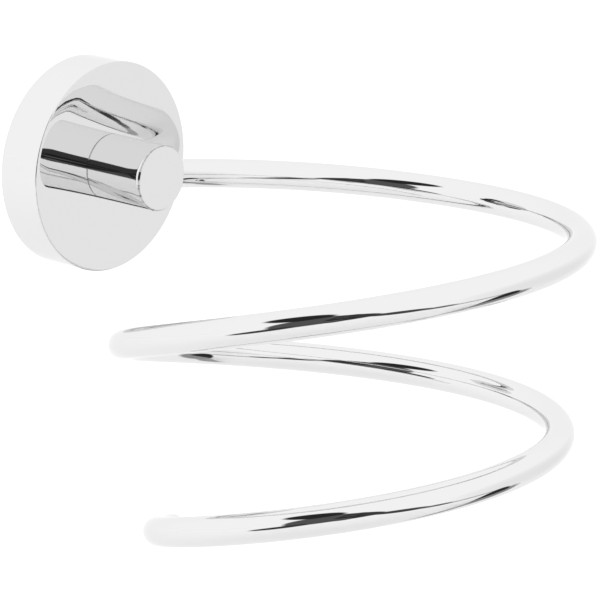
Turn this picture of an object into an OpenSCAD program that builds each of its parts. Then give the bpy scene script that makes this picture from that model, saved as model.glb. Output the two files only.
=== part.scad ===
// Wall-mounted hair dryer holder with a spiral rod.
//
// A plate screwed to the wall holds a round rose. A turned post stands out of the rose and
// carries a round rod, wound into an open coil that the dryer's nozzle drops into.
// The wall is the plane y = 0, the room is towards -Y and +Z is up. The origin is the centre
// of the rose's back, on the wall. Heights named _out are distances from the wall.

/* [Rose] */
// Outer diameter of the round rose on the wall
rose_d = 51; // [46:0.5:64]
// How far the rose stands off the wall
rose_depth = 11.4; // [9.5:0.1:14]
// Sheet thickness of the drawn rose
rose_wall = 1.2; // [0.8:0.1:1.5]
// Rounding between the rose's face and its skirt
rose_round = 0.3; // [0.2:0.1:0.8]
// How far the middle of the rose's face lies behind its rim, mm
face_dish = 0.35; // [0.1:0.05:0.5]

/* [Post] */
// Diameter of the turned post
post_d = 16; // [14:0.5:20]
// Distance from the wall to the post's end face
post_reach = 28; // [25:0.5:36]
// Chamfer around the post's end face
post_chamfer = 0.4; // [0.2:0.1:1]

/* [Spiral rod] */
// Diameter of the rod
rod_d = 7; // [5:0.5:8.5]
// Distance from the post's end face back to the rod's centreline
rod_setback = 6.5; // [5:0.1:8]
// Radius of the coil's centreline where the rod leaves the post
coil_r = 56; // [48:1:70]
// Drop of the rod in one full turn, past the eased start
coil_pitch = 44.5; // [30:0.5:60]
// Angle that the rod is wound through, seen from above
coil_sweep = 697; // [540:1:720]
// How much the coil's radius shrinks in the first turn
coil_shrink = 5; // [0:0.5:8]
// How much more it shrinks in the second turn than in the first
coil_shrink_gain = 2; // [0:0.5:4]
// Downward slope of the rod where it leaves the post, in degrees
start_slope = 3.3; // [0:0.1:5]
// Angle over which that slope grows into the coil's steady slope
ease_angle = 75; // [40:5:120]
// How far the free end is lifted out of the steady drop
tip_lift = 1.4; // [0:0.1:4]
// Angle over which that lift builds up
tip_lift_angle = 150; // [90:5:200]
// Angle that the front of the coil is raised by, turned about the rod's socket
coil_tilt = 8; // [0:1:12]

/* [Wall plate] */
// Clearance hole for each wall screw
wall_hole_d = 4.8; // [4:0.1:5]
// Distance from the plate's rim to the centre of each wall screw
wall_hole_inset = 6; // [5.5:0.1:6.5]

/* [Hidden] */
$fn = 96;

// Fits: radial gap of a thread or of a plain screw hole, of the rod in its socket, and of the
// backing ring around the wall plate
thread_gap = 0.05;
socket_gap = 0.05;
plate_gap = 0.3;

// Rose screw, an M4 grub screw with a cone point that pulls into the plate's groove
rose_screw_d = 4;
rose_screw_tip_d = 0.6;
rose_screw_key = 2;
rose_screw_key_deep = 1.5;
rose_screw_sunk = 0.3;
groove_deep = 1.2;
groove_land = 0.6;
groove_gap = 0.15;

// Backing ring: a thick web behind the rose's face and a rim inside its skirt
web_t = 3;
rim_t = 2;
rim_lift = 0.8;
rose_r = rose_d / 2;
rose_in_r = rose_r - rose_wall;
rim_r = rose_in_r - rim_t;
face_back = rose_depth - rose_wall;

// Pressed face: it gets steeper out to the turn, and then rolls level over the last few mm
face_roll = 3.2;
face_rings = 12;
flat_r = rose_r - rose_round;
turn_r = flat_r - face_roll;
face_slope = face_dish / (turn_r / 3 + face_roll / 2);
web_back = face_back - web_t;

// Wall plate, which fits inside the rim and stops short of the web; its centre opening clears
// the flat washer
washer_d = 16;
washer_clear = 1;
plate_bore_d = washer_d + 2 * washer_clear;
web_clear = 1.2;
plate_r = rim_r - plate_gap;
plate_t = web_back - web_clear;
groove_out = plate_t - groove_land - groove_deep;
wall_hole_r = plate_r - wall_hole_inset;
countersink_d = 9;
countersink_deep = 2.1;

// Post: a spigot goes back through the rose and the web, and a tapped hole runs up it
post_r = post_d / 2;
shoulder = 3;
spigot_r = post_r - shoulder;
spigot_short = 0.2;
rod_out = post_reach - rod_setback;
pin_d = 2;
pin_bite = 2.6;
pin_l = web_t + rose_wall + pin_bite;
pin_r = post_r - shoulder / 2;
pin_end_gap = 0.2;

// Screws in the tapped hole along the post's axis: the rod screw bears on the rod, and the tie
// screw comes up to just behind it
tap_d = 6;
washer_t = 1.2;
washer_hole_gap = 0.2;
spring_d = 10.6;
spring_t = 1.1;
spring_hole_gap = 0.1;
spring_cut = 1.2;
tie_seat = web_back - washer_t - spring_t;
tie_head_d = 10;
tie_head_h = 3;
tie_key = 4;
tie_key_deep = 2;
rod_r = rod_d / 2;
contact_gap = 0.08;
rod_screw_l = 5;
rod_screw_key = 3;
rod_screw_key_deep = 2.5;
rod_screw_back = rod_out - rod_r - contact_gap - rod_screw_l;
screw_gap = 0.5;
tie_l = rod_screw_back - screw_gap - tie_seat;

// Socket and coil
socket_past_axis = 4;
socket_deep = post_r + socket_past_axis;
rod_end_gap = 0.2;
tip_round = 1.5;
tip_step = 30;
bend_start = post_r;
rod_sides = 20;
ring_step = 5;
slope_share = 2 * PI * coil_r * tan(start_slope) / coil_pitch;
first_shrink = coil_shrink - coil_shrink_gain / 2;
inward_slope = first_shrink / (2 * PI * coil_r);
spans = ceil(coil_sweep / ring_step);
span = coil_sweep / spans;

// ---- Placing ----------------------------------------------------------------------------

// Turns a child's +Z away from the wall, starting at the given distance from it
module out(distance = 0) {
    translate([0, -distance, 0]) rotate([90, 0, 0]) children();
}

// Moves a child drawn around the socket's centre to the post, turned by the coil's tilt
module at_socket() {
    translate([0, -rod_out, 0]) rotate([-coil_tilt, 0, 0]) children();
}

// ---- Coil centreline, drawn around the socket's centre -----------------------------------

function unit(v) = v / norm(v);

// Share of the steady slope that has built up after a turn of a degrees
function eased(a) =
    let (u = max(0, a / ease_angle))
    u < 1 ? ease_angle * (pow(u, 3) - pow(u, 4) / 2) : a - ease_angle / 2;

function coil_radius(a) =
    let (n = a / 360)
    coil_r - first_shrink * n - coil_shrink_gain / 2 * n * n;

function end_lift(a) = tip_lift * pow(max(0, 1 - (coil_sweep - a) / tip_lift_angle), 2);

function coil_drop(a) =
    bend_start * tan(start_slope)
    + coil_pitch / 360 * (slope_share * a + (1 - slope_share) * eased(a))
    - end_lift(a);

// The rod's straight end points at the socket's centre, so the coil starts off its axis by what
// the two slopes add up to on the way
function coil_point(a) = [
    bend_start + coil_radius(a) * sin(a),
    coil_radius(a) * cos(a) - coil_r - bend_start * inward_slope,
    -coil_drop(a)
];

function coil_heading(a) = unit(coil_point(a + 0.01) - coil_point(a - 0.01));

// Puts a child's +Z along heading t from the point p
module along(p, t) {
    translate(p) rotate([0, acos(t.z), atan2(t.y, t.x)]) children();
}

// ---- Rose's face -------------------------------------------------------------------------

// Depth of the pressed face behind its rim at radius r
function face_drop(r) =
    r < turn_r
        ? face_slope * ((pow(turn_r, 3) - pow(r, 3)) / (3 * pow(turn_r, 2)) + face_roll / 2)
        : face_slope * pow(flat_r - r, 2) / (2 * face_roll);

// ---- Small hardware ----------------------------------------------------------------------

module hex_socket(across_flats, deep) {
    cylinder(d = across_flats / cos(30), h = deep, $fn = 6);
}

// ---- Sub-parts ---------------------------------------------------------------------------

// Cast disc with a grooved edge, held to the wall by two countersunk screws
module wall_plate() {
    bore_r = plate_bore_d / 2;
    color("gray") out() difference() {
        rotate_extrude() polygon([
            [bore_r, 0], [plate_r, 0],
            [plate_r, groove_out - groove_deep],
            [plate_r - groove_deep, groove_out],
            [plate_r, groove_out + groove_deep],
            [plate_r, plate_t], [bore_r, plate_t]
        ]);
        for (side = [-1, 1])
            translate([side * wall_hole_r, 0, 0]) {
                translate([0, 0, -1]) cylinder(d = wall_hole_d, h = plate_t + 2);
                translate([0, 0, plate_t - countersink_deep])
                    cylinder(d1 = wall_hole_d, d2 = countersink_d, h = countersink_deep);
            }
    }
}

// Drawn brass cup, chromed, that covers the wall plate
module rose() {
    color("silver") difference() {
        out() rotate_extrude() difference() {
            union() {
                polygon(concat(
                    [[0, 0], [rose_r, 0], [rose_r, rose_depth - rose_round],
                     [flat_r, rose_depth - rose_round]],
                    [for (i = [face_rings:-1:0])
                        let (r = flat_r * i / face_rings) [r, rose_depth - face_drop(r)]]
                ));
                translate([flat_r, rose_depth - rose_round]) circle(r = rose_round);
            }
            translate([-1, -1]) square([rose_in_r + 1, face_back + 1]);
            square([spigot_r + thread_gap, rose_depth + 1]);
        }
        rose_screw_hole();
        index_pin_hole();
    }
}

// Thick ring pressed into the rose, which backs its face and takes the rose screw's thread
module backing_ring() {
    color("tan") difference() {
        out() difference() {
            translate([0, 0, rim_lift]) cylinder(r = rose_in_r, h = face_back - rim_lift);
            cylinder(r = rim_r, h = web_back);
            cylinder(r = spigot_r + thread_gap, h = rose_depth);
        }
        rose_screw_hole();
        index_pin_hole();
    }
}

module rose_screw_hole() {
    translate([0, -groove_out, -rose_r - 1])
        cylinder(r = rose_screw_d / 2 + thread_gap, h = rose_r - rim_r + 2);
}

// Grub screw under the rose: its cone bears in the plate's groove
module rose_screw() {
    cone = (rose_screw_d - rose_screw_tip_d) / 2;
    tip = plate_r - groove_deep + groove_gap + rose_screw_tip_d / 2;
    tail = rose_r - rose_screw_sunk;
    color("dimgray") translate([0, -groove_out, 0]) rotate([180, 0, 0]) difference() {
        rotate_extrude() polygon([
            [0, tip], [rose_screw_tip_d / 2, tip], [rose_screw_d / 2, tip + cone],
            [rose_screw_d / 2, tail], [0, tail]
        ]);
        translate([0, 0, tail - rose_screw_key_deep])
            hex_socket(rose_screw_key, rose_screw_key_deep + 1);
    }
}

// Turned post with a rear spigot, a tapped hole up its axis and the rod's cross socket; its
// shoulder sits in the pressed face
module post() {
    seat = rose_depth - face_drop(post_r);
    color("silver") difference() {
        out() difference() {
            union() {
                translate([0, 0, seat])
                    cylinder(r = post_r, h = post_reach - seat - post_chamfer);
                translate([0, 0, post_reach - post_chamfer])
                    cylinder(r1 = post_r, r2 = post_r - post_chamfer, h = post_chamfer);
                translate([0, 0, web_back + spigot_short])
                    cylinder(r = spigot_r, h = post_reach / 2 - web_back);
            }
            cylinder(r = tap_d / 2 + thread_gap, h = rod_out);
        }
        index_pin_hole();
        socket_hole();
    }
}

// Blind cross hole that follows the rod's straight end
module socket_hole() {
    at_socket() along(coil_point(0), coil_heading(0))
        translate([0, 0, -socket_deep]) cylinder(r = rod_r + socket_gap, h = socket_deep + post_r);
}

// Dowel above the spigot that stops the post from turning in the rose
module index_pin() {
    color("lightgray") translate([0, 0, pin_r]) out(web_back) cylinder(d = pin_d, h = pin_l);
}

module index_pin_hole() {
    translate([0, 0, pin_r]) out(web_back - 1)
        cylinder(r = pin_d / 2 + thread_gap, h = pin_l + 1 + pin_end_gap);
}

// Flat washer behind the backing ring's web
module flat_washer() {
    color("gray") out(web_back - washer_t) difference() {
        cylinder(d = washer_d, h = washer_t);
        translate([0, 0, -1]) cylinder(r = tap_d / 2 + washer_hole_gap, h = washer_t + 2);
    }
}

// Split spring washer under the tie screw's head
module spring_washer() {
    color("dimgray") out(tie_seat) difference() {
        cylinder(d = spring_d, h = spring_t);
        translate([0, 0, -1]) cylinder(r = tap_d / 2 + spring_hole_gap, h = spring_t + 2);
        translate([-spring_cut / 2, 0, -1]) cube([spring_cut, spring_d, spring_t + 2]);
    }
}

// Screw that pulls the post's shoulder down on the rose from behind
module tie_screw() {
    color("gray") out(tie_seat) difference() {
        union() {
            cylinder(d = tap_d, h = tie_l);
            translate([0, 0, -tie_head_h]) cylinder(d = tie_head_d, h = tie_head_h);
        }
        translate([0, 0, -tie_head_h - 1]) hex_socket(tie_key, tie_key_deep + 1);
    }
}

// Grub screw up the post's tapped hole that locks the rod in its socket
module rod_screw() {
    color("dimgray") out(rod_screw_back) difference() {
        cylinder(d = tap_d, h = rod_screw_l);
        translate([0, 0, -1]) hex_socket(rod_screw_key, rod_screw_key_deep + 1);
    }
}

// Round rod swept through rings of points: a straight end in the socket, the coil, a rounded tip
module rod() {
    color("silver") at_socket() sweep(concat(
        [socket_ring()],
        [for (i = [0 : spans]) coil_ring(i * span, 0, rod_r)],
        [for (a = [tip_step : tip_step : 90])
            coil_ring(coil_sweep, tip_round * sin(a), rod_r - tip_round * (1 - cos(a)))]
    ));
}

// A ring is a centre, the heading through it and a radius
function coil_ring(a, ahead, r) =
    let (t = coil_heading(a))
    [coil_point(a) + ahead * t, t, r];

function socket_ring() = coil_ring(0, rod_end_gap - socket_deep, rod_r);

function ring_points(ring) =
    let (side = unit(cross(ring[1], [0, 0, 1])), up = cross(side, ring[1]))
    [for (k = [0 : rod_sides - 1])
        ring[0] + ring[2] * (cos(k * 360 / rod_sides) * side + sin(k * 360 / rod_sides) * up)];

// Closed tube through a list of rings
module sweep(rings) {
    last = len(rings) - 1;
    n = rod_sides;
    walls = [for (i = [0 : last - 1], k = [0 : n - 1])
        let (next = (k + 1) % n)
        [i * n + k, i * n + next, (i + 1) * n + next, (i + 1) * n + k]];
    start_cap = [for (k = [0 : n - 1]) n - 1 - k];
    end_cap = [for (k = [0 : n - 1]) last * n + k];
    polyhedron([for (ring = rings) each ring_points(ring)], concat([start_cap, end_cap], walls));
}

wall_plate();
rose();
backing_ring();
rose_screw();
post();
index_pin();
flat_washer();
spring_washer();
tie_screw();
rod_screw();
rod();
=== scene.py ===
"""Wall-mounted hair dryer holder: chromed rose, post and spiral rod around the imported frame."""
import math

import bpy
from bpy.props import FloatProperty, FloatVectorProperty, PointerProperty
from mathutils import Matrix, Vector


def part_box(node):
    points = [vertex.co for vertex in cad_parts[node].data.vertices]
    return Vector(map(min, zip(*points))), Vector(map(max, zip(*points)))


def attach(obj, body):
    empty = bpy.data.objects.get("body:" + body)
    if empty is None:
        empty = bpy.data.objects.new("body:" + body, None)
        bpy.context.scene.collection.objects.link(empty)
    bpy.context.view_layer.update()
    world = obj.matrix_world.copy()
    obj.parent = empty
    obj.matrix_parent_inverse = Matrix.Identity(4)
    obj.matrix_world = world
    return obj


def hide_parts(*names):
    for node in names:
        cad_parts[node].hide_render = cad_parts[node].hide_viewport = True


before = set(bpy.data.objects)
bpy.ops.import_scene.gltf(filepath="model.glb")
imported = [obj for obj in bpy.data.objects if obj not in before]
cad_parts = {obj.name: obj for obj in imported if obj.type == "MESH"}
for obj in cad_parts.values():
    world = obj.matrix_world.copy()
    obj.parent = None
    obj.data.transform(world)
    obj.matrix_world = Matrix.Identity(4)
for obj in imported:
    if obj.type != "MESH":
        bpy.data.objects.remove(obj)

bl_info = {
    "name": "Spiral hair dryer holder",
    "version": (1, 0, 0),
    "blender": (4, 5, 0),
    "location": "View3D > Sidebar > Dryer holder",
    "description": "Builds a chromed wall holder for a hair dryer and a plain studio around it",
    "category": "Object",
}

# The wall is the plane y = 0 and the room is towards -Y. "Out" is a distance from the wall.

BODY = "root"
MM = 0.001
# Points closer than this are merged, which removes the slivers that a cut leaves
SLIVER = 0.002 * MM
# The rose and the ring pressed into it have the same sides, so that their facets meet
ROSE_SIDES = 320
SHARP_EDGE = math.radians(30)
SMOOTH_BELOW = math.radians(35)


def out_range(node):
    """Nearest and farthest distance of a node from the wall."""
    low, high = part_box(node)
    return -high.y, -low.y


def widest(node):
    """Outer radius of a node that is turned about the post's axis."""
    low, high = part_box(node)
    return (high.x - low.x) / 2


# ---- What the frame says ------------------------------------------------------------------

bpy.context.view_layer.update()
ROSE_RADIUS = widest("rose")
ROSE_DEPTH = out_range("rose")[1]
RING_RADIUS = widest("backing_ring")
RING_START, FACE_BACK = out_range("backing_ring")
PLATE_RADIUS = widest("wall_plate")
PLATE_THICK = out_range("wall_plate")[1]
POST_RADIUS = widest("post")
SPIGOT_START, POST_REACH = out_range("post")
WEB_BACK, PIN_END = out_range("index_pin")
PIN_HEIGHT = (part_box("index_pin")[0].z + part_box("index_pin")[1].z) / 2
GRUB_OUT = sum(out_range("rose_screw")) / 2
GRUB_RADIUS = widest("rose_screw")
GRUB_TIP = -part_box("rose_screw")[1].z
GRUB_TAIL = -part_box("rose_screw")[0].z


# ---- Settings -----------------------------------------------------------------------------


def length(name, description, millimetres):
    return FloatProperty(
        name=name, description=description, default=millimetres * MM,
        min=0.0, precision=5, unit="LENGTH")


def angle(name, description, degrees):
    return FloatProperty(
        name=name, description=description, default=math.radians(degrees), subtype="ANGLE")


def colour(name, description, red, green, blue):
    return FloatVectorProperty(
        name=name, description=description, default=(red, green, blue, 1.0),
        size=4, min=0.0, max=1.0, subtype="COLOR")


def share(name, description, value):
    return FloatProperty(
        name=name, description=description, default=value, min=0.0, max=1.0, subtype="FACTOR")


class HolderSizes(bpy.types.PropertyGroup):
    rose_round: length("Rose edge", "Rounding between the rose's face and its skirt", 0.3)
    face_dish: length("Face dish", "How far the face's middle lies behind the rose's rim", 0.35)
    face_roll: length("Face roll", "Width over which the pressed face rolls level at its rim", 3.2)
    rim: length("Ring rim", "Thickness of the backing ring's rim", 2)
    plate_bore: length("Plate opening", "Radius of the wall plate's centre opening", 9)
    groove: length("Plate groove", "Depth of the groove in the wall plate's edge", 1.2)
    wall_hole: length("Wall hole", "Radius of the wall plate's screw holes", 2.4)
    wall_hole_inset: length("Wall hole inset", "Wall plate's edge to the axis of a screw hole", 6)
    countersink: length("Countersink", "Radius of the countersinks at the plate's face", 4.5)
    countersink_deep: length("Countersink depth", "Depth of the countersinks", 2.1)
    spigot: length("Spigot", "Radius of the post's spigot behind its shoulder", 5)
    tap: length("Thread", "Radius of the screws along the post's axis", 3)
    gap: length("Gap", "Radial clearance of threads, pins and the rod's socket", 0.05)
    pin: length("Index pin", "Radius of the index pin", 1)
    post_edge: length("Post edge", "Chamfer around the post's end face", 0.4)
    post_seat_edge: length("Post seat edge", "Chamfer where the post meets the rose", 0.12)
    rod: length("Rod", "Radius of the rod", 3.5)
    rod_setback: length("Rod setback", "Post's end face to the rod's centreline", 6.5)
    socket: length("Socket", "Depth of the rod's socket, back from the post's side", 12)
    rod_end_gap: length("Rod end gap", "Clearance behind the rod's end in its socket", 0.2)
    tip_round: length("Tip", "Rounding of the rod's free end", 1.5)
    tie_head: length("Tie screw head", "Height of the tie screw's head", 3)
    grub_cone: length("Grub screw cone", "Length of the rose screw's cone point", 1.7)
    soft_edge: length("Soft edge", "Rounding left on the edges of the hidden hardware", 0.15)


class CoilShape(bpy.types.PropertyGroup):
    radius: length("Coil radius", "Centreline radius where the rod leaves the post", 56)
    pitch: length("Pitch", "Drop of the rod in one steady turn", 44.5)
    shrink: length("Shrink", "How much the radius shrinks in the first turn", 5)
    shrink_gain: length("Shrink gain", "How much more it shrinks in the second turn", 2)
    tip_lift: length("Tip lift", "How far the free end is lifted out of the steady drop", 1.4)
    sweep: angle("Sweep", "Angle that the rod is wound through", 697)
    start_slope: angle("Start slope", "Downward slope of the rod where it leaves the post", 3.3)
    ease: angle("Ease", "Angle over which that slope grows into the steady one", 75)
    lift_angle: angle("Lift angle", "Angle over which the tip lift builds up", 150)
    tilt: angle("Tilt", "Angle that the front of the coil is raised by", 8)
    ring_step: angle("Ring step", "Angle between two rings of the modelled rod", 1.5)


class HolderFinishes(bpy.types.PropertyGroup):
    chrome: colour("Chrome", "Colour of the chrome plating", 0.765, 0.765, 0.765)
    chrome_edge: colour("Chrome edge", "Tint of the chrome where it is seen edge-on", 0.9, 0.9, 0.9)
    # Painted shade: the chrome's colour is darkened towards this along the rose's and post's edges,
    # where it stands in for dark reflected lines and the shade at their joints; the rod's tip is
    # darkened with it as well
    chrome_dark: colour("Darkened chrome", "Colour painted as shade along the chrome's edges; the rod's tip is darkened with it too", 0.3, 0.3, 0.3)
    chrome_haze: share("Chrome haze", "Roughness of the chrome where its colour is darkened", 0.09)
    zinc: colour("Zinc", "Colour of the cast and plated wall plate", 0.56, 0.58, 0.61)
    zinc_dull: colour("Dull zinc", "Colour of its duller patches", 0.46, 0.48, 0.51)
    brass: colour("Brass", "Colour of the turned brass ring", 0.78, 0.57, 0.27)
    brass_dull: colour("Dull brass", "Colour of its tarnished patches", 0.5, 0.34, 0.15)
    steel: colour("Steel", "Colour of the bright screws, washers and pin", 0.6, 0.6, 0.61)
    steel_dull: colour("Dull steel", "Colour of their duller patches", 0.42, 0.42, 0.44)
    black: colour("Black oxide", "Colour of the blackened grub screws", 0.03, 0.03, 0.034)
    black_worn: colour("Worn oxide", "Colour of their edges where the steel shows", 0.3, 0.3, 0.31)
    floor: colour("Floor", "Colour of the pale floor", 1, 1, 1)


# ---- Small helpers ------------------------------------------------------------------------


def deselect():
    if bpy.context.object and bpy.context.object.mode != "OBJECT":
        bpy.ops.object.mode_set(mode="OBJECT")
    bpy.ops.object.select_all(action="DESELECT")


def activate(piece):
    deselect()
    piece.select_set(True)
    bpy.context.view_layer.objects.active = piece


def from_axis(point):
    return math.hypot(point.x, point.z)


def pick_edges(piece, test):
    """Selects the edges of a piece that pass the test, and leaves it in edit mode."""
    activate(piece)
    bpy.ops.object.mode_set(mode="EDIT")
    bpy.ops.mesh.select_mode(type="EDGE")
    bpy.ops.mesh.select_all(action="DESELECT")
    bpy.ops.object.mode_set(mode="OBJECT")
    for edge in piece.data.edges:
        edge.select = test(*(piece.data.vertices[i].co for i in edge.vertices))
    bpy.ops.object.mode_set(mode="EDIT")


def pick_faces(piece, test):
    """Selects the faces of a piece that pass the test, and leaves it in edit mode."""
    activate(piece)
    bpy.ops.object.mode_set(mode="EDIT")
    bpy.ops.mesh.select_mode(type="FACE")
    bpy.ops.mesh.select_all(action="DESELECT")
    bpy.ops.object.mode_set(mode="OBJECT")
    picked = [face for face in piece.data.polygons if test(face)]
    if not picked:
        raise RuntimeError(f"{piece.name} has no such face")
    for face in picked:
        face.select = True
    bpy.ops.object.mode_set(mode="EDIT")


def cap(piece, radius, out):
    """Closes a turned piece with a flat face at the end loop that has this radius and place."""
    near = 1e-5
    pick_edges(piece, lambda a, b: all(
        abs(from_axis(p) - radius) < near and abs(-p.y - out) < near for p in (a, b)))
    bpy.ops.mesh.edge_face_add()
    bpy.ops.object.mode_set(mode="OBJECT")


def turned(name, profile, solid, sides=192):
    """Turns a piece about the post's axis from points of (radius, out).

    A solid piece's profile runs from its first end face to its last one. Any other profile is
    a closed section that goes all the way round a hole.
    """
    radius, out = profile[0]
    deselect()
    bpy.ops.mesh.primitive_circle_add(
        vertices=sides, radius=radius, location=(0, -out, 0), rotation=(math.radians(90), 0, 0))
    piece = bpy.context.object
    piece.name = name
    bpy.ops.object.transform_apply(location=True, rotation=True, scale=True)
    bpy.ops.object.mode_set(mode="EDIT")
    bpy.ops.mesh.select_mode(type="EDGE")
    bpy.ops.mesh.select_all(action="SELECT")
    for next_radius, next_out in profile[1:] if solid else [*profile[1:], profile[0]]:
        bpy.ops.mesh.extrude_edges_move(TRANSFORM_OT_translate={"value": (0, out - next_out, 0)})
        grow = next_radius / radius
        bpy.ops.transform.resize(value=(grow, 1, grow), center_override=(0, 0, 0))
        radius, out = next_radius, next_out
    if solid:
        cap(piece, *profile[0])
        cap(piece, *profile[-1])
    clean(piece)
    return piece


def clean(piece):
    """Merges doubled points, drops slivers and turns all faces outwards."""
    activate(piece)
    bpy.ops.object.mode_set(mode="EDIT")
    bpy.ops.mesh.select_all(action="SELECT")
    bpy.ops.mesh.remove_doubles(threshold=SLIVER)
    bpy.ops.mesh.dissolve_degenerate(threshold=SLIVER)
    bpy.ops.mesh.normals_make_consistent(inside=False)
    bpy.ops.object.mode_set(mode="OBJECT")


def soften(piece, amount):
    """Rounds all sharp edges of a piece a little."""
    activate(piece)
    bpy.ops.object.mode_set(mode="EDIT")
    bpy.ops.mesh.select_mode(type="EDGE")
    bpy.ops.mesh.select_all(action="DESELECT")
    bpy.ops.mesh.edges_select_sharp(sharpness=SHARP_EDGE)
    bpy.ops.mesh.bevel(offset=amount, segments=2, affect="EDGES")
    bpy.ops.object.mode_set(mode="OBJECT")


def bar(radius, start, end, sides=96):
    """A round or six-sided bar from one point to another, to cut holes with."""
    deselect()
    along = end - start
    bpy.ops.mesh.primitive_cylinder_add(
        vertices=sides, radius=radius, depth=along.length, location=(start + end) / 2,
        rotation=along.to_track_quat("Z", "Y").to_euler())
    bpy.ops.object.transform_apply(location=True, rotation=True, scale=True)
    return bpy.context.object


def cut(piece, *cutters):
    """Takes the cutters' shapes out of a piece and removes the cutters."""
    for cutter in cutters:
        activate(piece)
        hole = piece.modifiers.new("hole", "BOOLEAN")
        hole.operation = "DIFFERENCE"
        hole.solver = "EXACT"
        hole.object = cutter
        before = len(piece.data.vertices)
        bpy.ops.object.modifier_apply(modifier=hole.name)
        if len(piece.data.vertices) == before:
            raise RuntimeError(f"the cut in {piece.name} did nothing")
        bpy.data.objects.remove(cutter, do_unlink=True)
    clean(piece)


def hexagon(across_flats):
    """Corner radius of a hexagon."""
    return across_flats / 2 / math.cos(math.radians(30))


def finish_piece(piece, slot, material, *nodes):
    """Smooths a piece, keeps its flats flat, dresses it and ties it to the frame."""
    activate(piece)
    bpy.ops.object.shade_smooth_by_angle(angle=SMOOTH_BELOW)
    flats = piece.modifiers.new("flats", "WEIGHTED_NORMAL")
    flats.keep_sharp = True
    bpy.ops.object.modifier_apply(modifier=flats.name)
    piece.data.materials.clear()
    piece.data.materials.append(material)
    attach(piece, BODY)
    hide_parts(*nodes)


# ---- Shapes from formulas -----------------------------------------------------------------


def flat_radius(sizes):
    """Radius of the rose's face inside its rounded edge."""
    return ROSE_RADIUS - sizes.rose_round


def face_drop(radius, sizes):
    """Depth of the pressed face behind its rim."""
    edge = flat_radius(sizes)
    turn = edge - sizes.face_roll
    slope = sizes.face_dish / (turn / 3 + sizes.face_roll / 2)
    if radius < turn:
        return slope * ((turn ** 3 - radius ** 3) / (3 * turn ** 2) + sizes.face_roll / 2)
    return slope * (edge - radius) ** 2 / (2 * sizes.face_roll)


def coil_point(a, coil, sizes):
    """Point of the rod's centreline after a turn of angle a."""
    turns = a / math.tau
    first_shrink = coil.shrink - coil.shrink_gain / 2
    radius = coil.radius - first_shrink * turns - coil.shrink_gain / 2 * turns ** 2
    slope_share = math.tau * coil.radius * math.tan(coil.start_slope) / coil.pitch
    u = max(0.0, a / coil.ease)
    eased = coil.ease * (u ** 3 - u ** 4 / 2) if u < 1 else a - coil.ease / 2
    lift = coil.tip_lift * max(0.0, 1 - (coil.sweep - a) / coil.lift_angle) ** 2
    drop = POST_RADIUS * math.tan(coil.start_slope)
    drop += coil.pitch / math.tau * (slope_share * a + (1 - slope_share) * eased) - lift
    inward = POST_RADIUS * first_shrink / (math.tau * coil.radius)
    place = Vector((
        POST_RADIUS + radius * math.sin(a),
        radius * math.cos(a) - coil.radius - inward,
        -drop,
    ))
    rod_out = POST_REACH - sizes.rod_setback
    return Matrix.Rotation(-coil.tilt, 3, "X") @ place + Vector((0, -rod_out, 0))


def coil_heading(a, coil, sizes):
    """Direction in which the rod runs on after a turn of angle a."""
    step = math.radians(0.01)
    return (coil_point(a + step, coil, sizes) - coil_point(a - step, coil, sizes)).normalized()


# ---- Holes that several pieces share ------------------------------------------------------


def pin_hole(sizes):
    """Cutter for the index pin's hole through the rose and into the post."""
    top = Vector((0, 0, PIN_HEIGHT))
    beyond = Vector((0, 1 * MM, 0))
    return bar(sizes.pin + sizes.gap, top + beyond - Vector((0, WEB_BACK, 0)),
               top - Vector((0, PIN_END + sizes.rod_end_gap, 0)), sides=48)


def grub_hole(sizes):
    """Cutter for the rose screw's hole, from inside the ring to beyond the rose's skirt."""
    inside = RING_RADIUS - sizes.rim - 1 * MM
    return bar(GRUB_RADIUS + sizes.gap, Vector((0, -GRUB_OUT, -inside)),
               Vector((0, -GRUB_OUT, -ROSE_RADIUS - 1 * MM)), sides=64)


# ---- Materials ----------------------------------------------------------------------------


def new_material(name):
    material = bpy.data.materials.new(name)
    material.use_nodes = True
    tree = material.node_tree
    tree.nodes.clear()
    shader = tree.nodes.new("ShaderNodeBsdfPrincipled")
    output = tree.nodes.new("ShaderNodeOutputMaterial")
    tree.links.new(shader.outputs["BSDF"], output.inputs["Surface"])
    return material, tree, shader


def maths(tree, operation, first, second=0.0):
    """A Math node whose inputs are sockets or numbers."""
    node = tree.nodes.new("ShaderNodeMath")
    node.operation = operation
    for socket, value in zip(node.inputs, (first, second)):
        if isinstance(value, bpy.types.NodeSocket):
            tree.links.new(value, socket)
        else:
            socket.default_value = value
    return node.outputs["Value"]


def spread(tree, value, low, high, from_low=0.0, from_high=1.0):
    """Maps a value smoothly from one range to another."""
    node = tree.nodes.new("ShaderNodeMapRange")
    node.interpolation_type = "SMOOTHSTEP"
    tree.links.new(value, node.inputs["Value"])
    node.inputs["From Min"].default_value = from_low
    node.inputs["From Max"].default_value = from_high
    node.inputs["To Min"].default_value = low
    node.inputs["To Max"].default_value = high
    return node.outputs["Result"]


def noise(tree, place, size, detail=3.0, stretch=(1, 1, 1)):
    """Noise whose features are about this many metres across."""
    mapping = tree.nodes.new("ShaderNodeMapping")
    mapping.inputs["Scale"].default_value = stretch
    node = tree.nodes.new("ShaderNodeTexNoise")
    node.inputs["Scale"].default_value = 1 / size
    node.inputs["Detail"].default_value = detail
    tree.links.new(place, mapping.inputs["Vector"])
    tree.links.new(mapping.outputs["Vector"], node.inputs["Vector"])
    return node.outputs["Fac"]


def axis_distance(tree, place):
    """Distance from the post's axis, and the place's own coordinates."""
    parts = tree.nodes.new("ShaderNodeSeparateXYZ")
    tree.links.new(place, parts.inputs["Vector"])
    squares = [maths(tree, "MULTIPLY", parts.outputs[k], parts.outputs[k]) for k in ("X", "Z")]
    return maths(tree, "SQRT", maths(tree, "ADD", *squares)), parts


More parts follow.
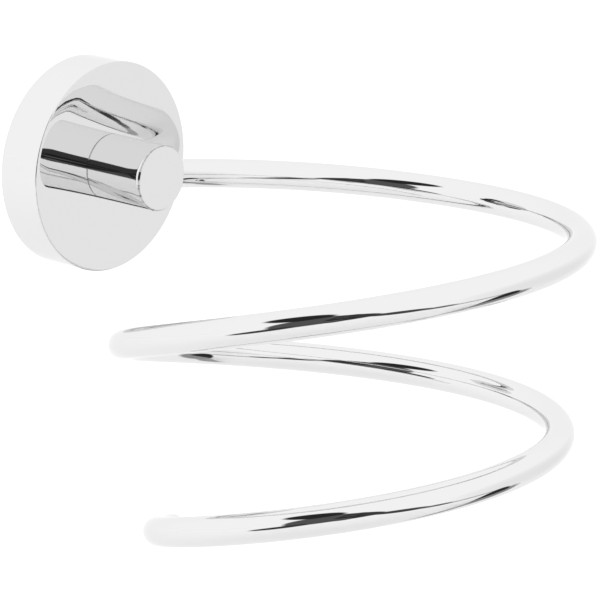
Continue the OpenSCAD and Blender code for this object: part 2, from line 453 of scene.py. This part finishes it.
def ring_mask(rings, reach, strength=1.0):
    """A mask that is strongest on the edges given as (radius, out) and fades within the reach."""
    def mask(tree, place):
        radius, parts = axis_distance(tree, place)
        worn = None
        for ring_radius, ring_out in rings:
            across = maths(tree, "SUBTRACT", radius, ring_radius)
            along = maths(tree, "ADD", parts.outputs["Y"], ring_out)
            squares = [maths(tree, "MULTIPLY", value, value) for value in (across, along)]
            distance = maths(tree, "SQRT", maths(tree, "ADD", *squares))
            near = spread(tree, distance, strength, 0.0, 0.0, reach)
            worn = near if worn is None else maths(tree, "MAXIMUM", worn, near)
        return worn
    return mask


def point_mask(point, reach):
    """A mask that is one at a point and fades to nothing within the reach."""
    def mask(tree, place):
        distance = tree.nodes.new("ShaderNodeVectorMath")
        distance.operation = "DISTANCE"
        tree.links.new(place, distance.inputs[0])
        distance.inputs[1].default_value = point
        return spread(tree, distance.outputs["Value"], 1.0, 0.0, 0.0, reach)
    return mask


def bump(tree, shader, height, depth):
    """Raises the surface by the height times the depth in metres."""
    node = tree.nodes.new("ShaderNodeBump")
    node.inputs["Distance"].default_value = depth
    tree.links.new(height, node.inputs["Height"])
    tree.links.new(node.outputs["Normal"], shader.inputs["Normal"])


def blend_colours(tree, shader, factor, plain, other):
    """Blends the base colour from one colour to another."""
    node = tree.nodes.new("ShaderNodeMix")
    node.data_type = "RGBA"
    tree.links.new(factor, node.inputs["Factor"])
    plain_socket, other_socket = (s for s in node.inputs if s.type == "RGBA")
    plain_socket.default_value = plain
    other_socket.default_value = other
    result = next(s for s in node.outputs if s.type == "RGBA")
    tree.links.new(result, shader.inputs["Base Color"])


def object_place(tree):
    return tree.nodes.new("ShaderNodeTexCoord").outputs["Object"]


def chrome(name, find_mask):
    """Bright chrome: clear, with faint cloudy haze and polishing lines; along the masked edges its
    colour is painted darker as shade and its finish is hazier.
    """
    finishes = bpy.context.scene.holder_finishes
    material, tree, shader = new_material(name)
    shader.inputs["Metallic"].default_value = 1.0
    shader.inputs["Specular Tint"].default_value = finishes.chrome_edge
    place = object_place(tree)
    clouds = spread(tree, noise(tree, place, 9 * MM), 0.012, 0.035, 0.4, 0.75)
    wiped = noise(tree, place, 1.6 * MM, detail=5.0, stretch=(0.12, 1, 1))
    smears = spread(tree, wiped, 0.0, 0.02, 0.55, 0.75)
    specks = spread(tree, noise(tree, place, 0.5 * MM), 0.6, 1.0, 0.35, 0.6)
    # Painted shade: along the masked edges the colour is darkened towards the dark chrome colour,
    # broken into specks, and the haze below roughens the same places
    worn = maths(tree, "MULTIPLY", find_mask(tree, place), specks)
    blend_colours(tree, shader, worn, finishes.chrome, finishes.chrome_dark)
    haze = maths(tree, "MULTIPLY", worn, finishes.chrome_haze)
    rough = maths(tree, "ADD", maths(tree, "ADD", clouds, smears), haze)
    tree.links.new(rough, shader.inputs["Roughness"])
    lines = noise(tree, place, 0.25 * MM, detail=2.0, stretch=(0.08, 1, 1))
    bump(tree, shader, lines, 0.00004 * MM)
    return material


def cast_zinc(name, find_mask):
    """Zinc-plated casting: mottled, fine-grained and brighter along its worn edges."""
    finishes = bpy.context.scene.holder_finishes
    material, tree, shader = new_material(name)
    shader.inputs["Metallic"].default_value = 1.0
    place = object_place(tree)
    mottle = spread(tree, noise(tree, place, 1.2 * MM, detail=6.0), 0.0, 1.0, 0.3, 0.7)
    worn = find_mask(tree, place)
    dull = maths(tree, "MULTIPLY", mottle, maths(tree, "SUBTRACT", 1.0, worn))
    blend_colours(tree, shader, dull, finishes.zinc, finishes.zinc_dull)
    rough = maths(tree, "SUBTRACT", spread(tree, mottle, 0.34, 0.52),
                  maths(tree, "MULTIPLY", worn, 0.14))
    tree.links.new(rough, shader.inputs["Roughness"])
    bump(tree, shader, noise(tree, place, 0.3 * MM, detail=4.0), 0.02 * MM)
    return material


def machined(name, find_mask, plain, dull, rough_low, rough_high):
    """Turned metal: rings of tool marks, patches of tarnish and bright worn edges."""
    material, tree, shader = new_material(name)
    shader.inputs["Metallic"].default_value = 1.0
    place = object_place(tree)
    patches = spread(tree, noise(tree, place, 3 * MM, detail=5.0), 0.0, 1.0, 0.4, 0.75)
    worn = find_mask(tree, place)
    tarnish = maths(tree, "MULTIPLY", patches, maths(tree, "SUBTRACT", 1.0, worn))
    blend_colours(tree, shader, tarnish, plain, dull)
    tree.links.new(spread(tree, patches, rough_low, rough_high), shader.inputs["Roughness"])
    radius, parts = axis_distance(tree, place)
    face_marks = 0.22 * MM
    side_marks = 0.3 * MM
    marks = maths(tree, "SINE", maths(tree, "MULTIPLY", radius, math.tau / face_marks))
    along = maths(tree, "MULTIPLY", parts.outputs["Y"], math.tau / side_marks)
    bands = maths(tree, "SINE", along)
    grain = noise(tree, place, 0.4 * MM)
    tool = maths(tree, "MULTIPLY", maths(tree, "ADD", marks, bands), grain)
    bump(tree, shader, tool, 0.004 * MM)
    return material


def black_oxide(name, find_mask):
    """Blackened steel: nearly black, satin, with bare steel along its edges."""
    finishes = bpy.context.scene.holder_finishes
    material, tree, shader = new_material(name)
    shader.inputs["Metallic"].default_value = 1.0
    place = object_place(tree)
    specks = spread(tree, noise(tree, place, 0.25 * MM, detail=5.0), 0.0, 1.0, 0.3, 0.6)
    worn = maths(tree, "MULTIPLY", find_mask(tree, place), specks)
    blend_colours(tree, shader, worn, finishes.black, finishes.black_worn)
    tree.links.new(spread(tree, specks, 0.3, 0.45), shader.inputs["Roughness"])
    bump(tree, shader, noise(tree, place, 0.2 * MM), 0.004 * MM)
    return material


def steel(name, *rings):
    finishes = bpy.context.scene.holder_finishes
    wear = ring_mask(rings, 0.5 * MM)
    return machined(name, wear, finishes.steel, finishes.steel_dull, 0.22, 0.38)


# ---- Pieces -------------------------------------------------------------------------------


class HOLDER_OT_wall_plate(bpy.types.Operator):
    """Models the cast wall plate with its grooved edge and two countersunk screw holes"""
    bl_idname = "holder.wall_plate"
    bl_label = "Wall plate"

    def execute(self, context):
        sizes = context.scene.holder_sizes
        groove_floor = PLATE_RADIUS - sizes.groove
        plate = turned("wall_plate_casting", [
            (sizes.plate_bore, 0), (PLATE_RADIUS, 0),
            (PLATE_RADIUS, GRUB_OUT - sizes.groove), (groove_floor, GRUB_OUT),
            (PLATE_RADIUS, GRUB_OUT + sizes.groove), (PLATE_RADIUS, PLATE_THICK),
            (sizes.plate_bore, PLATE_THICK)], solid=False)
        soften(plate, sizes.soft_edge)
        beyond = 1 * MM
        for side in (-1, 1):
            drill = turned("drill", [
                (sizes.wall_hole, -beyond), (sizes.wall_hole, PLATE_THICK - sizes.countersink_deep),
                (sizes.countersink, PLATE_THICK), (sizes.countersink, PLATE_THICK + beyond),
            ], solid=True, sides=96)
            drill.location.x = side * (PLATE_RADIUS - sizes.wall_hole_inset)
            bpy.ops.object.transform_apply(location=True, rotation=True, scale=True)
            cut(plate, drill)
        edges = [(PLATE_RADIUS, 0), (PLATE_RADIUS, PLATE_THICK),
                 (sizes.plate_bore, 0), (sizes.plate_bore, PLATE_THICK)]
        zinc = cast_zinc("plated zinc", ring_mask(edges, 0.8 * MM))
        finish_piece(plate, "zinc_plate", zinc, "wall_plate")
        return {"FINISHED"}


class HOLDER_OT_rose(bpy.types.Operator):
    """Models the drawn rose: a cup with a pressed face, a rounded edge and its three holes"""
    bl_idname = "holder.rose"
    bl_label = "Rose"

    def execute(self, context):
        sizes = context.scene.holder_sizes
        hole = sizes.spigot + sizes.gap
        flat = flat_radius(sizes)
        corner = ROSE_DEPTH - sizes.rose_round
        rounding = [
            (flat + sizes.rose_round * math.cos(a), corner + sizes.rose_round * math.sin(a))
            for a in (math.radians(90) * i / 4 for i in range(5))]
        rings = 20
        radii = [flat + (hole - flat) * i / rings for i in range(1, rings + 1)]
        face = [(radius, ROSE_DEPTH - face_drop(radius, sizes)) for radius in radii]
        rose = turned("rose_cup", [
            (hole, FACE_BACK), (RING_RADIUS, FACE_BACK), (RING_RADIUS, 0), (ROSE_RADIUS, 0),
            *rounding, *face], solid=False, sides=ROSE_SIDES)
        cut(rose, grub_hole(sizes), pin_hole(sizes))
        # Painted shade: the chrome is darkened a little along the rose's back rim at the wall and
        # along the middle of its rounded front edge, as thin dark lines
        middle = sizes.rose_round / 3
        edges = [(ROSE_RADIUS, 0), (ROSE_RADIUS - middle, ROSE_DEPTH - middle)]
        plating = chrome("rose chrome", ring_mask(edges, 0.25 * MM, strength=0.3))
        finish_piece(rose, "chrome", plating, "rose")
        return {"FINISHED"}


class HOLDER_OT_backing_ring(bpy.types.Operator):
    """Models the turned brass ring that fills the rose: a thick web and a rim"""
    bl_idname = "holder.backing_ring"
    bl_label = "Backing ring"

    def execute(self, context):
        sizes = context.scene.holder_sizes
        finishes = context.scene.holder_finishes
        hole = sizes.spigot + sizes.gap
        rim = RING_RADIUS - sizes.rim
        ring = turned("backing_ring_brass", [
            (hole, WEB_BACK), (rim, WEB_BACK), (rim, RING_START), (RING_RADIUS, RING_START),
            (RING_RADIUS, FACE_BACK), (hole, FACE_BACK)], solid=False, sides=ROSE_SIDES)
        soften(ring, sizes.soft_edge)
        cut(ring, grub_hole(sizes), pin_hole(sizes))
        edges = [(rim, RING_START), (RING_RADIUS, RING_START)]
        wear = ring_mask(edges, 0.4 * MM)
        brass = machined("turned brass", wear, finishes.brass, finishes.brass_dull, 0.24, 0.4)
        finish_piece(ring, "raw_brass", brass, "backing_ring")
        return {"FINISHED"}


class HOLDER_OT_post(bpy.types.Operator):
    """Models the turned post with its end chamfer, spigot, tapped hole and rod socket"""
    bl_idname = "holder.post"
    bl_label = "Post"

    def execute(self, context):
        sizes = context.scene.holder_sizes
        coil = context.scene.holder_coil
        bore = sizes.tap + sizes.gap
        seat = ROSE_DEPTH - face_drop(POST_RADIUS, sizes)
        rod_out = POST_REACH - sizes.rod_setback
        post = turned("post_bar", [
            (bore, rod_out), (bore, SPIGOT_START), (sizes.spigot, SPIGOT_START),
            (sizes.spigot, seat), (POST_RADIUS - sizes.post_seat_edge, seat),
            (POST_RADIUS, seat + sizes.post_seat_edge), (POST_RADIUS, POST_REACH - sizes.post_edge),
            (POST_RADIUS - sizes.post_edge, POST_REACH)], solid=True, sides=256)
        start = coil_point(0, coil, sizes)
        heading = coil_heading(0, coil, sizes)
        socket = bar(sizes.rod + sizes.gap, start - heading * sizes.socket,
                     start + heading * POST_RADIUS)
        cut(post, socket, pin_hole(sizes))
        # Painted shade: the chrome is darkened along the middle of the end chamfer, as a painted
        # dark reflection, and where the post meets the rose, as painted shade at the joint
        middle = sizes.post_edge / 2
        edges = [(POST_RADIUS - middle, POST_REACH - middle), (POST_RADIUS, seat)]
        plating = chrome("post chrome", ring_mask(edges, 0.4 * MM))
        finish_piece(post, "chrome", plating, "post")
        return {"FINISHED"}


class HOLDER_OT_rod(bpy.types.Operator):
    """Sweeps the round rod along its coil and rounds its free end"""
    bl_idname = "holder.rod"
    bl_label = "Spiral rod"

    def execute(self, context):
        sizes = context.scene.holder_sizes
        coil = context.scene.holder_coil
        steps = round(coil.sweep / coil.ring_step)
        start = coil_point(0, coil, sizes)
        inside = sizes.socket - sizes.rod_end_gap
        path = [start - coil_heading(0, coil, sizes) * inside]
        path += [coil_point(coil.sweep * i / steps, coil, sizes) for i in range(steps + 1)]
        deselect()
        bpy.ops.curve.primitive_nurbs_path_add(location=(0, 0, 0))
        rod = context.object
        rod.name = "spiral_rod"
        curve = rod.data
        curve.splines.clear()
        spline = curve.splines.new("POLY")
        spline.points.add(len(path) - 1)
        for point, place in zip(spline.points, path):
            point.co = (*place, 1)
        curve.dimensions = "3D"
        curve.twist_mode = "Z_UP"
        curve.bevel_depth = sizes.rod
        curve.bevel_resolution = 24
        curve.use_fill_caps = True
        bpy.ops.object.convert(target="MESH")
        clean(rod)
        tip = coil_point(coil.sweep, coil, sizes)
        heading = coil_heading(coil.sweep, coil, sizes)
        self.round_tip(rod, tip, heading, sizes)
        # The chrome is darkened around the front of the rod's tip
        front = tip + heading * sizes.tip_round
        plating = chrome("rod chrome", point_mask(front, 1.5 * MM))
        finish_piece(rod, "chrome", plating, "rod")
        return {"FINISHED"}

    def round_tip(self, rod, tip, heading, sizes):
        """Extrudes the end face forwards in narrowing steps that follow a quarter circle."""
        pick_faces(rod, lambda face: (
            (face.center - tip).length < sizes.rod and face.normal.dot(heading) > 0.9))
        bpy.ops.mesh.dissolve_faces()
        radius, ahead = sizes.rod, 0
        steps = 8
        for i in range(1, steps + 1):
            a = math.radians(90) * i / steps
            next_ahead = sizes.tip_round * math.sin(a)
            next_radius = sizes.rod - sizes.tip_round * (1 - math.cos(a))
            bpy.ops.mesh.extrude_region_move(
                TRANSFORM_OT_translate={"value": heading * (next_ahead - ahead)})
            bpy.ops.transform.resize(
                value=(next_radius / radius,) * 3, center_override=tip + heading * next_ahead)
            radius, ahead = next_radius, next_ahead
        clean(rod)


class HOLDER_OT_screws(bpy.types.Operator):
    """Models the rose screw, the tie screw and its two washers, and dresses the hidden pins"""
    bl_idname = "holder.screws"
    bl_label = "Screws and washers"

    def execute(self, context):
        sizes = context.scene.holder_sizes
        self.tie_screw(sizes)
        self.washers(sizes)
        self.rose_screw(sizes)
        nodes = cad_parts
        back_edge = (widest("rod_screw"), out_range("rod_screw")[0])
        oxide = black_oxide("rod screw oxide", ring_mask([back_edge], 1 * MM))
        nodes["rod_screw"].material_slots[0].material = oxide
        nodes["index_pin"].material_slots[0].material = steel("pin steel", (PIN_HEIGHT, PIN_END))
        return {"FINISHED"}

    def tie_screw(self, sizes):
        back, end = out_range("tie_screw")
        head = widest("tie_screw")
        seat = back + sizes.tie_head
        chamfer = 0.4 * MM
        screw = turned("tie_screw_steel", [
            (head - chamfer, back), (head, back + chamfer), (head, seat), (sizes.tap, seat),
            (sizes.tap, end - chamfer), (sizes.tap - chamfer, end)], solid=True, sides=128)
        soften(screw, 0.1 * MM)
        key_deep = 2 * MM
        key = bar(hexagon(4 * MM), Vector((0, -back - key_deep, 0)),
                  Vector((0, MM - back, 0)), sides=6)
        cut(screw, key)
        finish_piece(screw, "screw_steel", steel("screw steel", (head, back)), "tie_screw")

    def washers(self, sizes):
        holes = {"flat_washer": sizes.tap + 0.2 * MM, "spring_washer": sizes.tap + 0.1 * MM}
        for node, hole in holes.items():
            start, end = out_range(node)
            radius = widest(node)
            washer = turned(f"{node}_steel", [
                (hole, start), (radius, start), (radius, end), (hole, end)], solid=False, sides=128)
            soften(washer, 0.1 * MM)
            if node == "spring_washer":
                deselect()
                bpy.ops.mesh.primitive_cube_add(
                    size=1, location=(0, -(start + end) / 2, radius / 2 + MM))
                saw = bpy.context.object
                split = 1.2 * MM
                saw.scale = (split, 2 * (end - start), radius + 2 * MM)
                bpy.ops.object.transform_apply(location=True, rotation=True, scale=True)
                cut(washer, saw)
            material = steel(f"{node} steel", (radius, start), (radius, end))
            finish_piece(washer, "screw_steel", material, node)

    def rose_screw(self, sizes):
        point = 0.3 * MM
        chamfer = 0.25 * MM
        screw = turned("rose_screw_black", [
            (point, GRUB_TIP), (GRUB_RADIUS, GRUB_TIP + sizes.grub_cone),
            (GRUB_RADIUS, GRUB_TAIL - chamfer), (GRUB_RADIUS - chamfer, GRUB_TAIL),
        ], solid=True, sides=96)
        key_deep = 1.5 * MM
        key = bar(hexagon(2 * MM), Vector((0, key_deep - GRUB_TAIL, 0)),
                  Vector((0, -MM - GRUB_TAIL, 0)), sides=6)
        cut(screw, key)
        activate(screw)
        screw.rotation_euler = (math.radians(90), 0, 0)
        screw.location.y = -GRUB_OUT
        bpy.ops.object.transform_apply(location=True, rotation=True, scale=True)
        oxide = black_oxide("rose screw oxide", point_mask((0, -GRUB_OUT, -GRUB_TAIL), 2.4 * MM))
        finish_piece(screw, "black_steel", oxide, "rose_screw")


# ---- Studio -------------------------------------------------------------------------------

# Screens that show in the chrome but not to the camera. Each row is a name, an azimuth and an
# elevation, then how wide and high the screen looks and how far it is turned, all in degrees,
# its tone from black 0 to white 1, and the share of it that is even before it fades out
SCREENS = (
    ("grey_wall", 50, -8, 110, 70, 0, 1.0, 0.2),
    ("room_middle", -71, 9, 42, 46, 0, 0.1, 0.8),
    ("room_low", -62, -2, 58, 18, 0, 0.1, 0.8),
    ("screen_upper", -86, 36, 48, 25, -30, 0.025, 0.75),
    ("screen_lower", -86, -12, 42, 15, 20, 0.05, 0.75),
    ("camera_back", -55, 6, 18, 36, 0, 0.02, 0.9),
    ("camera_grip", -55, 11, 18, 3.2, 0, 0.14, 0.4),
    ("camera_trim", -55, 1, 18, 3.2, 0, 0.14, 0.4),
    ("table_edge", -51, 11, 48, 16, -44, 0.05, 0.8),
    ("table_side", -25, -10, 44, 14, -32, 0.07, 0.8),
    ("table_end", -3, -21, 28, 10, -20, 0.14, 0.6),
    ("shelf", 17, -25, 50, 7, 0, 0.5, 0.6),
    ("stand", 46, -36, 16, 36, 34, 0.03, 0.8),
    ("stand_side", 56, -40, 22, 38, 34, 0.32, 0.6),
    ("stand_foot", 74, -56, 26, 9, -15, 0.4, 0.6),
)
MIDDLE = Vector((20, -70, -30)) * MM
SCREEN_DISTANCE = 1.5
FLOOR_HEIGHT = -1.4


def towards(azimuth, elevation):
    """Direction at an azimuth from the room's -Y and an elevation, both in degrees."""
    azimuth, elevation = math.radians(azimuth), math.radians(elevation)
    return Vector((math.sin(azimuth) * math.cos(elevation),
                   -math.cos(azimuth) * math.cos(elevation), math.sin(elevation)))


def screen_material(name, tone, core):
    """Even tone that fades out softly at the screen's edge."""
    material, tree, shader = new_material(name)
    tree.nodes.remove(shader)
    away = tree.nodes.new("ShaderNodeVectorMath")
    away.operation = "LENGTH"
    tree.links.new(object_place(tree), away.inputs[0])
    fade = spread(tree, away.outputs["Value"], 0.0, 1.0, core, 1.0)
    glow = tree.nodes.new("ShaderNodeEmission")
    glow.inputs["Color"].default_value = (tone, tone, tone, 1)
    clear = tree.nodes.new("ShaderNodeBsdfTransparent")
    mix = tree.nodes.new("ShaderNodeMixShader")
    tree.links.new(fade, mix.inputs["Fac"])
    tree.links.new(glow.outputs["Emission"], mix.inputs[1])
    tree.links.new(clear.outputs["BSDF"], mix.inputs[2])
    tree.links.new(mix.outputs["Shader"], tree.nodes["Material Output"].inputs["Surface"])
    return material


def screen(name, azimuth, elevation, width, height, turn, tone, core):
    """An oval screen out in the studio, which the camera itself doesn't see."""
    back = towards(azimuth, elevation)
    across = Vector((0, 0, 1)).cross(back).normalized()
    up = back.cross(across)
    turn = math.radians(turn)
    side = across * math.cos(turn) + up * math.sin(turn)
    top = up * math.cos(turn) - across * math.sin(turn)
    half = [SCREEN_DISTANCE * math.tan(math.radians(size / 2)) for size in (width, height)]
    deselect()
    bpy.ops.mesh.primitive_circle_add(vertices=64, radius=1, fill_type="NGON")
    piece = bpy.context.object
    piece.name = name
    turned_to = Matrix((side * half[0], top * half[1], back)).transposed().to_4x4()
    piece.matrix_world = Matrix.Translation(MIDDLE + back * SCREEN_DISTANCE) @ turned_to
    piece.data.materials.append(screen_material(name, tone, core))
    piece.visible_camera = False


class HOLDER_OT_stage(bpy.types.Operator):
    """Sets the pale floor, the soft light with its dark screens, and the camera"""
    bl_idname = "holder.stage"
    bl_label = "Stage"

    def execute(self, context):
        deselect()
        bpy.ops.mesh.primitive_plane_add(size=120, location=(0, 0, FLOOR_HEIGHT))
        floor = context.object
        floor.name = "floor"
        pale, tree, shader = new_material("pale floor")
        shader.inputs["Base Color"].default_value = context.scene.holder_finishes.floor
        shader.inputs["Roughness"].default_value = 0.9
        floor.data.materials.append(pale)
        for row in SCREENS:
            screen(*row)
        world = bpy.data.worlds.new("soft studio")
        context.scene.world = world
        world.use_nodes = True
        light = world.node_tree.nodes["Background"]
        light.inputs["Color"].default_value = (1, 1, 1, 1)
        brightness = 1.15
        light.inputs["Strength"].default_value = brightness
        self.camera(context)
        context.scene.view_settings.view_transform = "Standard"
        return {"FINISHED"}

    def camera(self, context):
        aim = Vector((2.82, -71.34, -21.41)) * MM
        distance = 847.55 * MM
        roll = math.radians(4.789)
        back = towards(-49.927, 11.169)
        right = Vector((0, 0, 1)).cross(back).normalized()
        up = back.cross(right)
        camera = bpy.data.objects.new("camera", bpy.data.cameras.new("camera"))
        context.scene.collection.objects.link(camera)
        camera.data.lens = 220.1
        camera.data.sensor_width = 36
        camera.location = aim + back * distance
        turned_to = Matrix((right * math.cos(roll) + up * math.sin(roll),
                            up * math.cos(roll) - right * math.sin(roll), back)).transposed()
        camera.rotation_euler = turned_to.to_euler()
        context.scene.camera = camera


class HOLDER_PT_panel(bpy.types.Panel):
    """Lists the operators that build the holder"""
    bl_idname = "HOLDER_PT_panel"
    bl_label = "Dryer holder"
    bl_space_type = "VIEW_3D"
    bl_region_type = "UI"
    bl_category = "Dryer holder"

    def draw(self, context):
        for operator in OPERATORS:
            self.layout.operator(operator.bl_idname)


OPERATORS = (
    HOLDER_OT_wall_plate, HOLDER_OT_rose, HOLDER_OT_backing_ring, HOLDER_OT_post,
    HOLDER_OT_rod, HOLDER_OT_screws, HOLDER_OT_stage,
)
SETTINGS = {
    "holder_sizes": HolderSizes, "holder_coil": CoilShape, "holder_finishes": HolderFinishes,
}
CLASSES = (*SETTINGS.values(), *OPERATORS, HOLDER_PT_panel)


def register():
    for cls in CLASSES:
        bpy.utils.register_class(cls)
    for name, cls in SETTINGS.items():
        setattr(bpy.types.Scene, name, PointerProperty(type=cls))


def unregister():
    for name in SETTINGS:
        delattr(bpy.types.Scene, name)
    for cls in reversed(CLASSES):
        bpy.utils.unregister_class(cls)


def main():
    register()
    bpy.ops.holder.wall_plate()
    bpy.ops.holder.rose()
    bpy.ops.holder.backing_ring()
    bpy.ops.holder.post()
    bpy.ops.holder.rod()
    bpy.ops.holder.screws()
    bpy.ops.holder.stage()


if __name__ == "__main__":
    main()
